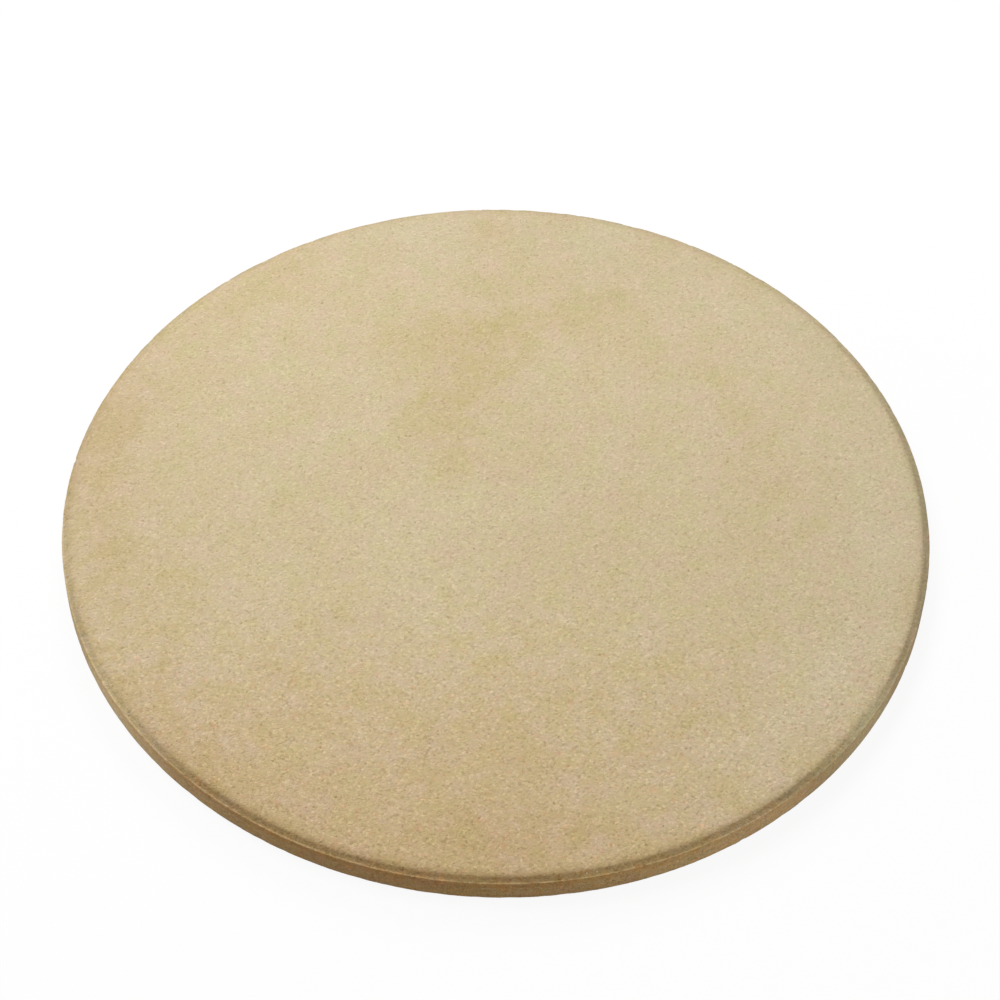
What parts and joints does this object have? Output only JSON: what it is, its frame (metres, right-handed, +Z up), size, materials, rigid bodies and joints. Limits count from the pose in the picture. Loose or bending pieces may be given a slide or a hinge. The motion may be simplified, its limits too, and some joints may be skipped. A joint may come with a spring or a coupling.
{
  "type": "pizza stone",
  "caption": "Round flat unglazed cordierite baking stone with a shallow pressed cove round each face, for baking pizza or bread on an oven or grill rack.",
  "frame": {"origin": "centre of the underside, on the surface that the stone lies on", "axes": "+Z up through the centre of the disc, square to both faces; the disc is round, so X and Y may point any way along the underside"},
  "size_m": [0.381, 0.381, 0.0127],
  "materials": {
    "cordierite": "matte"
  },
  "bodies": {
    "root": {"stone_disc": "cordierite"}
  },
  "joints": []
}
